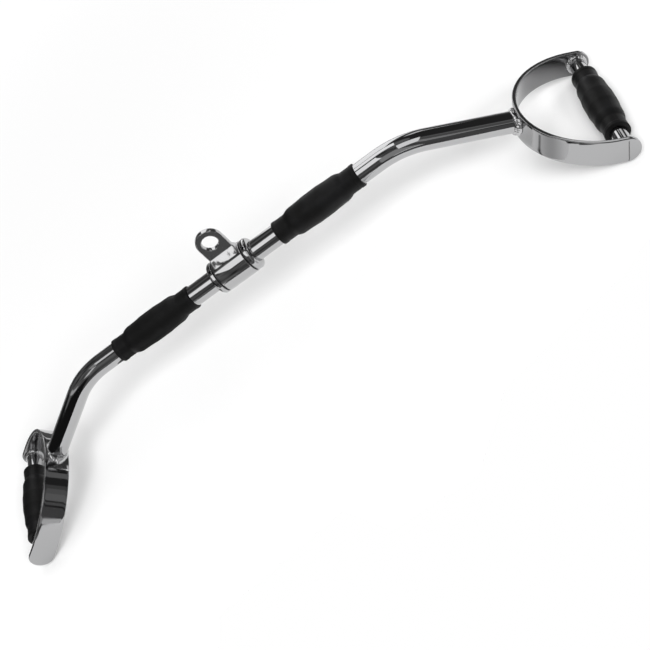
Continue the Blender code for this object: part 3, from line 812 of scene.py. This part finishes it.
@dataclass
class Hanger:
    """The part that turns on the tube: barrel, eye plate, their weld and the two bushings."""

    sizes: BarSizes
    lean: float = math.radians(5.0)
    barrel_radius: float = 0.0205
    barrel_bore: float = 0.0163
    barrel_half: float = 0.0200
    barrel_edge: float = 0.9 * MM
    bore_edge: float = 0.3 * MM
    barrel_sides: int = 192
    eye_height: float = 0.0450
    eye_radius: float = 0.0168
    eye_sides: int = 240
    hole_radius: float = 0.0098
    plate_thickness: float = 0.0070
    plate_edge: float = 0.0010
    plate_corner: float = 1.2 * MM
    foot_gap: float = 0.4 * MM
    weld_up: float = 0.0060
    weld_across: float = 0.0068
    weld_at_ends: float = 0.0020
    weld_ripple: float = 2.6 * MM
    bushing_length: float = 0.0140
    bushing_sides: int = 160
    flange_radius: float = 0.0190
    flange_thickness: float = 0.0015
    running_gap: float = 0.0001

    def placement(self) -> Placement:
        """The hanger's own axes, leaning to the rear."""
        return self.sizes.bar().turned(-self.lean, "X")

    def axis(self) -> Placement:
        """The same place with Z along the tube to the right."""
        return self.placement().turned(QUARTER_TURN, "Y")

    def build_barrel(self) -> None:
        """Makes the barrel, a thick ring with rounded rims."""
        outer, bore, half = self.barrel_radius, self.barrel_bore, self.barrel_half
        corners = [(outer, half), (outer, -half), (bore, -half), (bore, half)]
        profile = fillet(corners, [self.barrel_edge] * 2 + [self.bore_edge] * 2)
        piece = make_piece("hanger_barrel_tube", revolve(profile, circle(self.barrel_sides), self.axis()))
        dress(piece, Finish.CHROME, HANGER, "hanger_barrel")

    def eye_outline(self, direction: np.ndarray) -> tuple[np.ndarray, np.ndarray]:
        """Outline of the plate and its outward normals, by directions from the hole's centre.

        Above the centre it is a half circle. Below it the sides run straight down, and a line closes the foot.
        """
        foot = self.barrel_radius + self.foot_gap - self.eye_height
        below = direction[:, 1] < 0
        to_side = self.eye_radius / np.maximum(np.abs(direction[:, 0]), 1e-9)
        to_foot = foot / np.minimum(direction[:, 1], -1e-9)
        reach = np.where(below, np.minimum(to_side, to_foot), self.eye_radius)
        normal = direction.copy()
        normal[below] = np.stack((np.sign(direction[below, 0]), np.zeros(below.sum())), axis=1)
        normal[below & (to_foot < to_side)] = (0.0, -1.0)
        return direction * reach[:, None], normal

    def build_eye(self) -> None:
        """Makes the eye plate: both faces, the rounded rim and the rounded hole are rings of one closed grid."""
        corner = math.atan2(self.eye_height - self.barrel_radius, self.eye_radius)
        corners = [2 * math.pi - corner, math.pi + corner]
        direction = directions(np.unique(np.concatenate((circle(self.eye_sides), corners))))
        outline, normal = self.eye_outline(direction)
        half = self.plate_thickness / 2
        turn = np.linspace(0.0, QUARTER_TURN, 7)
        inset = (self.plate_edge * (1 - np.sin(turn)))[:, None, None]
        depth = half - self.plate_edge * (1 - np.cos(turn))
        rim = outline - normal * inset
        hole = direction * (self.hole_radius + inset)
        face = hole[0] + (rim[0] - hole[0]) * np.linspace(0.0, 1.0, 6)[1:-1, None, None]
        front = np.concatenate((hole[::-1], face, rim))
        depth = np.concatenate((depth[::-1], np.full(len(face), half), depth))
        rows = np.concatenate((front, front[::-1]))
        depth = np.concatenate((-depth, depth[::-1]))[:, None] + 0 * rows[..., 0]
        points = np.stack((rows[..., 0], depth, rows[..., 1] + self.eye_height), axis=-1)
        piece = make_piece("eye_plate", Patch(self.placement().world(points), True, True), sharp_degrees=50.0)
        dress(piece, Finish.CHROME, HANGER, "hanger_eye")

    def build_eye_weld(self) -> None:
        """Makes the bead round the foot of the eye plate, on the round of the barrel."""
        half_x, half_y = self.eye_radius, self.plate_thickness / 2
        corners = [(half_x, -half_y), (half_x, half_y), (-half_x, half_y), (-half_x, -half_y)]
        line = fillet(corners, [self.plate_corner] * 4, steps=16)
        line = np.concatenate([np.linspace(a, b, 12, endpoint=False) for a, b in zip(line, np.roll(line, -1, 0))])
        step = np.roll(line, -1, axis=0) - np.roll(line, 1, axis=0)
        out = np.stack((step[:, 1], -step[:, 0]), axis=1) / np.linalg.norm(step, axis=1, keepdims=True)
        edge = line + out * np.array([self.weld_at_ends, self.weld_across])
        corner, edge = (
            np.column_stack((points, np.sqrt(self.barrel_radius**2 - points[:, 1] ** 2))) for points in (line, edge)
        )
        crest = corner + np.array([0.0, 0.0, self.weld_up])
        bead = Bead(self.weld_ripple, ripple=0.05, crown=0.3).patch(self.placement(), corner, edge, crest)
        dress(make_piece("eye_plate_weld", bead), Finish.WELD, HANGER, "eye_weld")

    def build_bushing(self, side: Side) -> None:
        """Makes one flanged bushing, with its sleeve inside the barrel."""
        gap = self.sizes.seat_gap
        bore, sleeve, flange = self.sizes.tube_radius + self.running_gap, self.barrel_bore - gap, self.flange_radius
        start, foot = self.barrel_half - self.bushing_length, self.barrel_half + gap
        end = foot + self.flange_thickness
        corners = [(flange, end), (flange, foot), (sleeve, foot), (sleeve, start), (bore, start), (bore, end)]
        profile = fillet(corners, [0.35 * MM, 0.2 * MM, 0.1 * MM, 0.3 * MM, 0.2 * MM, 0.3 * MM])
        profile[:, 1] *= side.sign
        piece = make_piece(f"{side.value}_bushing", revolve(profile, circle(self.bushing_sides), self.axis()))
        dress(piece, Finish.NYLON, HANGER, f"bushing_{side.value}")

    def build(self) -> None:
        """Makes the whole hanger."""
        self.build_barrel()
        self.build_eye()
        self.build_eye_weld()
        for side in Side:
            self.build_bushing(side)


@dataclass
class StopCollar:
    """A collar that keeps the hanger in the middle of the bar, and the set screw that locks it."""

    side: Side
    sizes: BarSizes
    start_x: float = 0.0221
    length: float = 0.0074
    rim_length: float = 0.0032
    radius: float = 0.0202
    nose_radius: float = 0.0150
    sides: int = 192
    screw_along: float = 0.0026
    screw_radius: float = 0.0015
    screw_below_rim: float = 0.0006
    screw_lean: float = math.radians(20.0)
    screw_chamfer: float = 0.3 * MM
    hole_gap: float = 0.15 * MM
    mouth_depth: float = 0.25 * MM
    screw_sides: int = 72
    socket_radius: float = 0.0009
    socket_depth: float = 0.0015
    thread_pitch: float = 0.0005
    thread_depth: float = 0.00025

    @property
    def bore(self) -> float:
        """Radius of the collar's bore, and how low its screw reaches."""
        return self.sizes.tube_radius + self.sizes.seat_gap

    def profile(self) -> np.ndarray:
        """Closed profile: a plain rim next to the hanger, then a quarter ellipse down to the nose."""
        start, end = self.start_x, self.start_x + self.length
        rim_end = start + self.rim_length
        turn = np.linspace(0.0, QUARTER_TURN, 28)
        radius = self.nose_radius + (self.radius - self.nose_radius) * np.sin(turn)
        nose = np.column_stack((radius, rim_end + (end - rim_end) * np.cos(turn)))
        corners = [(self.radius, start), (self.bore, start), (self.bore, end), (self.radius, end)]
        three_arcs = slice(0, 18)
        rest = fillet(corners, [0.4 * MM, 0.3 * MM, 0.3 * MM, CRISP])[three_arcs]
        return np.concatenate((nose, rest))

    def screw_axis(self) -> Placement:
        """The set screw's own axes, with Z outwards from the tube."""
        x = self.side.sign * (self.start_x + self.screw_along)
        return self.sizes.bar().turned(self.screw_lean, "X", (x, 0.0, 0.0))

    def drill(self, collar: Object) -> None:
        """Drills the screw's hole through the collar, with its mouth broken by a small countersink."""
        hole = self.screw_radius + self.hole_gap
        above = 2.0 * MM
        top, mouth, bottom = self.radius + above, self.radius - self.mouth_depth, self.sizes.tube_radius
        wide = hole + above + self.mouth_depth
        profile = np.array([(0.0, top), (wide, top), (hole, mouth), (hole, bottom), (0.0, bottom)])
        cutter = make_piece("screw_hole_cutter", revolve(profile, circle(64), self.screw_axis(), closed=False))
        boolean = collar.modifiers.new("screw_hole", "BOOLEAN")
        boolean.operation = "DIFFERENCE"
        boolean.solver = "EXACT"
        boolean.object = cutter
        evaluated = collar.evaluated_get(bpy.context.evaluated_depsgraph_get())
        drilled = bpy.data.meshes.new_from_object(evaluated)
        collar.modifiers.clear()
        collar.data = drilled
        drilled.shade_smooth()
        drilled.set_sharp_from_angle(angle=math.radians(30.0))
        bpy.data.objects.remove(cutter, do_unlink=True)

    def build_collar(self) -> None:
        """Makes the collar and drills it."""
        placement = self.sizes.bar().turned(QUARTER_TURN * self.side.sign, "Y")
        ring = revolve(self.profile(), circle(self.sides), placement)
        collar = make_piece(f"{self.side.value}_collar", ring)
        self.drill(collar)
        dress(collar, Finish.CHROME, BAR, f"stop_collar_{self.side.value}")

    def build_screw(self) -> None:
        """Makes the set screw: cup point, helical thread and hexagon socket.

        The thread's radius falls and rises once each pitch, and its phase turns with the angle, as a helix does.
        The socket's corner radius follows the hexagon: its flat's distance over the cosine off the flat's middle.
        """
        top, bottom, chamfer = self.radius - self.screw_below_rim, self.bore, self.screw_chamfer
        angle = circle(self.screw_sides)
        side_height = np.linspace(bottom + chamfer, top - chamfer, 90)[:, None]
        groove = np.abs(2 * ((side_height / self.thread_pitch - angle / (2 * math.pi)) % 1.0) - 1)
        ends = smooth_step(np.minimum(side_height - bottom - chamfer, top - chamfer - side_height) / chamfer)
        thread = self.screw_radius - self.thread_depth * groove * ends
        sixth = math.pi / 3
        off_flat = (angle + sixth / 2) % sixth - sixth / 2
        socket = self.socket_radius * math.cos(sixth / 2) / np.cos(off_flat)
        floor = top - self.socket_depth
        # Rings of radius and height: the cup's middle and edge, the point, the thread, the top and the socket.
        rings = (
            (0.0, bottom + chamfer), (0.4 * self.screw_radius, bottom + chamfer),
            (0.75 * self.screw_radius, bottom), (thread, side_height), (self.screw_radius - chamfer, top),
            (1.08 * socket, top), (socket, top - 0.1 * MM), (socket, floor), (0.0, floor - 0.2 * MM),
        )
        radius, height = (np.vstack([values + 0 * angle for values in column]) for column in zip(*rings))
        points = np.stack((radius * np.cos(angle), radius * np.sin(angle), height), axis=-1)
        patch = Patch(self.screw_axis().world(points), columns_close=True)
        piece = make_piece(f"{self.side.value}_set_screw", patch, sharp_degrees=35.0)
        dress(piece, Finish.SCREW, BAR, f"set_screw_{self.side.value}")

    def build(self) -> None:
        """Makes the collar and its screw."""
        self.build_collar()
        self.build_screw()


@dataclass(frozen=True)
class Card:
    """A studio card that only shows in the chrome and the rubber's sheen.

    It is a part of a sphere about the bar, between two azimuths, counted from the rear towards the right, and
    between two elevations, all in degrees. A brightness of 1 is white.
    """

    name: str
    azimuth: Pair
    elevation: Pair
    brightness: float
    radius: float = 2.6


@dataclass(frozen=True)
class Panel:
    """A flat studio card near the bar, which only shows in the chrome: a corner and two edges from it.

    Where it has a brightness at its ends too, it fades to that along its first edge.
    """

    name: str
    corner: Point
    first_edge: Point
    second_edge: Point
    brightness: float
    end_brightness: float | None = None


@dataclass(frozen=True)
class Lamp:
    """A bank of lamps in the ceiling, a level rectangle: the place of its middle, its sides and its watts."""

    name: str
    place: Pair
    size: Pair
    watts: float


TABLE_DROP = 0.2 * MM
SOFTBOX_HEIGHT = 1.50


@dataclass
class Studio:
    """A white table in a dark room, under wide soft banks of lamps and softboxes."""

    camera_place: Point = (0.5260, -1.2593, 1.0784)
    camera_aim: Point = (0.0161, 0.0004, -0.0141)
    camera_roll: float = math.radians(-49.343)
    lens_mm: float = 79.73
    table_colour: str = "#E7E7E7"
    table_edge: tuple[Pair, ...] = (
        (-0.95, 0.00), (-0.50, -0.19), (-0.44, -0.26), (-0.40, -0.36), (-0.30, -0.48), (-0.235, -0.48),
        (-0.20, -0.31), (-0.02, -0.28), (0.03, -0.34), (0.14, -0.34), (0.20, -0.26), (0.28, -0.24),
        (0.36, -0.22), (0.42, -0.185), (0.55, -0.12), (0.95, -0.10),
    )
    table_rear: float = 1.40
    table_glow: float = 0.02
    table_glow_rise: float = 0.10
    table_glow_most: float = 0.30
    lamps: tuple[Lamp, ...] = (
        Lamp("front_bank", (1.29, -5.15), (4.17, 2.82), 572.0),
        Lamp("overhead_bank", (0.36, -0.46), (2.97, 7.98), 89.4),
        Lamp("right_bank", (5.62, -7.65), (2.93, 4.54), 824.0),
    )
    lamp_height: float = 5.0
    ambient: float = 0.38
    centre_height: float = 0.1
    room: Card = Card("dark_room", (0, 360), (-60, 90), 1.0, 3.0)
    room_levels: Pair = (0.03, 0.20)
    # The flags, strips and walls that stand round the table.
    cards: tuple[Card, ...] = (
        Card("black_left_flag", (219, 294), (-40, 15), 0.012),
        Card("rear_wall", (343.5, 373), (3, 62), 1.6),
        Card("left_strip", (225, 234), (26, 44), 0.9),
        Card("left_low_strip", (242, 275), (17.5, 23), 0.6),
        Card("rear_right_strip", (27, 38), (22, 42), 0.9),
        Card("dark_front_floor", (186, 216), (-50, -12), 0.13, 2.2),
        Card("rear_right_flag", (20, 118), (24, 60), 0.03, 2.8),
        Card("far_right_wall", (52, 77.5), (-5, 22), 0.07),
        Card("right_strip", (77, 79.4), (-5, 30), 1.8),
        Card("right_wall", (79.4, 97.4), (-5, 30), 0.19),
        Card("right_flag", (97.6, 112.2), (-8, 26), 0.03),
        Card("right_wall_dark", (112.2, 119), (-8, 22), 0.09),
        Card("right_wall_middle", (119, 128), (-8, 20), 0.15),
        Card("right_wall_light", (128, 139.8), (-10, 18), 0.20),
        Card("front_flag_near", (139.8, 142.4), (-10, 16), 0.04),
        Card("front_wall_gap", (142.4, 147), (-10, 16), 0.13),
        Card("front_flag_far", (147, 149.8), (-10, 16), 0.02),
        Card("front_wall", (149.8, 163), (-12, 14), 0.10),
        Card("front_right_glow", (125, 142), (8, 42), 0.12, 2.8),
        Card("front_right_wall", (142, 155.5), (8, 40), 0.34, 2.8),
        Card("front_right_flag", (155.5, 168), (-8, 30), 0.09, 2.8),
        Card("front_glow", (168, 186), (-4, 38), 0.38, 2.8),
        Card("front_low_wall", (168, 179.5), (-9, -3.5), 0.80, 1.97),
    )
    # The softboxes overhead, then the small cards on and above the table.
    panels: tuple[Panel, ...] = (
        Panel("left_softbox", (-0.78, -1.78, SOFTBOX_HEIGHT), (0.73, 0, 0), (0, 1.42, 0), 1.5),
        Panel("left_softbox_side", (-0.95, -0.62, SOFTBOX_HEIGHT), (0.17, 0, 0), (0, 0.50, 0), 1.1),
        Panel("left_softbox_glow", (-1.22, -0.80, SOFTBOX_HEIGHT), (0.27, 0, 0), (0, 0.68, 0), 0.40),
        Panel("right_softbox", (0.50, -2.20, SOFTBOX_HEIGHT), (0.72, 0, 0), (0, 1.72, 0), 1.3),
        Panel("rear_softbox", (-0.22, -0.08, SOFTBOX_HEIGHT), (0.70, 0, 0), (0, 0.68, 0), 1.6),
        Panel("left_floor_flag", (-0.95, -0.05, TABLE_DROP), (0.42, 0, 0), (0, 0.60, 0), 0.12),
        Panel("rear_floor_flag", (-0.45, 0.29, TABLE_DROP), (0.33, 0, 0), (0, 0.75, 0), 0.13),
        # A dark sheet on the table under the bar that only the chrome sees: painted shade of the table there, as the
        # mirrors show it.
        Panel("middle_floor_painted_shade", (-0.25, -0.18, TABLE_DROP), (0.11, 0, 0), (0, 0.28, 0), 0.15),
        Panel("right_band_veil", (0.15, -0.21, 0), (0, 0.24, 0), (0, 0, 0.075), 0.58, 1.0),
        Panel("right_band_spot", (0.154, -0.034, 0), (0, 0.026, 0), (0, 0, 0.036), 0.03, 0.58),
        Panel("right_band_seam", (0.152, -0.030, 0), (0, 0.018, 0), (0, 0, 0.055), 0.25, 0.58),
        Panel("band_line", (0.4375, -0.1245, TABLE_DROP), (0.0012, 0, 0), (-0.0125, 0.031, 0), 0.25),
        Panel("rim_strip", (0.65, 0.32, 0.17), (0.13, -0.11, 0), (0, 0, 0.16), 1.0),
    )

    def build_camera(self) -> None:
        """Sets the camera where the photograph was taken from, rolled as it was."""
        data = bpy.data.cameras.new("photo_camera")
        data.sensor_width = 36.0
        data.lens = self.lens_mm
        camera = bpy.data.objects.new("photo_camera", data)
        forward = (Vector(self.camera_aim) - Vector(self.camera_place)).normalized()
        level = forward.to_track_quat("-Z", "Y").to_matrix()
        rolled = level @ Matrix.Rotation(self.camera_roll, 3, "Z")
        camera.matrix_world = Matrix.Translation(self.camera_place) @ rolled.to_4x4()
        bpy.context.scene.collection.objects.link(camera)
        bpy.context.scene.camera = camera

    def first_hand(self, tree: NodeTree) -> NodeSocket:
        """A factor that is 1 for a ray that met no matt surface yet, and 0 for light on its way to one."""
        depth = add_node(tree, "LightPath", output="Diffuse Depth")
        return add_node(tree, "Math", {0: depth, 1: 0.5}, operation="LESS_THAN")

    def seen_background(self, tree: NodeTree) -> NodeSocket:
        """A factor that is 1 for what the camera, a mirror or glass sees, and 0 for light that only falls."""
        path = add_node(tree, "LightPath").node.outputs
        mirrored = {0: path["Is Glossy Ray"], 1: path["Is Transmission Ray"]}
        direct = {0: add_node(tree, "Math", mirrored, operation="MAXIMUM"), 1: self.first_hand(tree)}
        seen = {0: path["Is Camera Ray"], 1: add_node(tree, "Math", direct, operation="MULTIPLY")}
        return add_node(tree, "Math", seen, operation="MAXIMUM")

    def build_world(self) -> None:
        """White where it is seen, and an even pale fill where it only lights."""
        world = bpy.data.worlds.new("white_surround")
        world.use_nodes = True
        tree = world.node_tree
        levels = {"Value": self.seen_background(tree), "To Min": self.ambient, "To Max": 1.0}
        strength = add_node(tree, "MapRange", levels)
        feed(tree.nodes["Background"], {"Color": (1.0, 1.0, 1.0, 1.0), "Strength": strength})
        bpy.context.scene.world = world

    def build_table(self) -> None:
        """The white table top: plain white, with a glow only where it is seen, so it ends in white.

        Its front edge bends in towards the bar, and its rear edge is straight. The glow rises with the square of
        the distance from the bar, as the lamps' light falls off.
        """
        front = np.pad(self.table_edge, ((0, 0), (0, 1)), constant_values=-TABLE_DROP)
        rear = front.copy()
        rear[:, 1] = self.table_rear
        table = make_piece("white_table", Patch(np.stack((front, rear), axis=1)))
        material, tree, shader, place = new_material("white_laminate")
        tree.nodes.remove(shader)
        top = add_node(tree, "BsdfDiffuse", {"Color": linear(self.table_colour)})
        away = add_node(tree, "VectorMath", {0: place, 1: place}, "Value", operation="DOT_PRODUCT")
        level = {0: away, 1: self.table_glow_rise, 2: self.table_glow}
        level = {0: add_node(tree, "Math", level, operation="MULTIPLY_ADD"), 1: self.table_glow_most}
        level = {0: self.seen_background(tree), 1: add_node(tree, "Math", level, operation="MINIMUM")}
        glow = add_node(tree, "Emission", {"Strength": add_node(tree, "Math", level, operation="MULTIPLY")})
        feed(tree.nodes["Material Output"], {"Surface": add_node(tree, "AddShader", {0: top, 1: glow})})
        table.data.materials.append(material)

    def hang(self, name: str, points: np.ndarray, brightness: float) -> tuple[Node, NodeSocket]:
        """Hangs a glowing surface that only mirrors see.

        Args:
            name: Name of the surface.
            points: Its grid of points.
            brightness: How bright it looks, where 1 is white.

        Returns:
            The node whose socket 1 is the brightness, and the object's coordinates.
        """
        card = make_piece(name, Patch(points))
        material, tree, shader, place = new_material(name)
        tree.nodes.remove(shader)
        sight = add_node(tree, "Math", {0: self.first_hand(tree), 1: brightness}, operation="MULTIPLY")
        glow = add_node(tree, "Emission", {"Strength": sight})
        feed(tree.nodes["Material Output"], {"Surface": glow})
        card.data.materials.append(material)
        for ray in ("camera", "diffuse", "shadow", "transmission"):
            setattr(card, f"visible_{ray}", False)
        return sight.node, place

    def hang_card(self, card: Card, steps: int = 33) -> tuple[Node, NodeSocket]:
        """Hangs a part of a sphere about the bar: x = cos e sin a, y = cos e cos a, z = sin e."""
        a = np.radians(np.linspace(*card.azimuth, steps))[:, None]
        e = np.radians(np.linspace(*card.elevation, steps))[None, :]
        points = np.stack((np.cos(e) * np.sin(a), np.cos(e) * np.cos(a), np.sin(e) + 0 * a), axis=-1)
        points = card.radius * points + np.array([0.0, 0.0, self.centre_height])
        return self.hang(card.name, points, card.brightness)

    def hang_panel(self, panel: Panel) -> None:
        """Hangs a flat panel, and fades it from its middle to both ends of its first edge if it has an end level."""
        corner, first, second = (np.array(v) for v in (panel.corner, panel.first_edge, panel.second_edge))
        points = np.array([[corner, corner + second], [corner + first, corner + first + second]])
        sight, place = self.hang(panel.name, points, panel.brightness)
        if panel.end_brightness is None:
            return
        tree = sight.id_data
        arm = add_node(tree, "VectorMath", {0: place, 1: tuple(corner + first / 2)}, operation="SUBTRACT")
        across = {0: arm, 1: tuple(2 * first / first.dot(first))}
        share = add_node(tree, "VectorMath", across, "Value", operation="DOT_PRODUCT")
        off = add_node(tree, "Math", {0: share}, operation="ABSOLUTE")
        levels = {"Value": off, "To Min": panel.brightness, "To Max": panel.end_brightness}
        feed(sight, {1: add_node(tree, "MapRange", levels, interpolation_type="SMOOTHSTEP")})

    def build_room(self) -> None:
        """The dark room round the table, as the chrome shows it: soft patches between dark and grey."""
        sight, place = self.hang_card(self.room, 65)
        tree = sight.id_data
        patches = add_node(tree, "TexNoise", {"Vector": place, "Scale": 0.9, "Detail": 2.0, "Roughness": 0.6})
        dark, light = self.room_levels
        levels = {"Value": patches, "From Min": 0.35, "From Max": 0.65, "To Min": dark, "To Max": light}
        feed(sight, {1: add_node(tree, "MapRange", levels)})

    def build_lamps(self) -> None:
        """The banks of lamps, which lay the soft shadow behind and below the bar and don't show in the chrome."""
        for lamp in self.lamps:
            data = bpy.data.lights.new(lamp.name, "AREA")
            data.shape = "RECTANGLE"
            data.size, data.size_y = lamp.size
            data.energy = lamp.watts
            light = bpy.data.objects.new(lamp.name, data)
            light.location = (*lamp.place, self.lamp_height)
            light.visible_glossy = False
            bpy.context.scene.collection.objects.link(light)

    def build(self) -> None:
        """Makes the whole studio."""
        bpy.context.scene.view_settings.view_transform = "Standard"
        self.build_camera()
        self.build_world()
        self.build_table()
        self.build_room()
        for card in self.cards:
            self.hang_card(card)
        for panel in self.panels:
            self.hang_panel(panel)
        self.build_lamps()


def main() -> None:
    """Builds the studio and the bar."""
    logging.basicConfig(level=logging.INFO, format="%(name)s: %(message)s")
    Studio().build()
    sizes = BarSizes.from_frame()
    MainTube(sizes).build()
    for side in Side:
        for part in (Stirrup, BarGrip, StopCollar):
            part(side, sizes).build()
    Hanger(sizes).build()


if __name__ == "__main__":
    main()
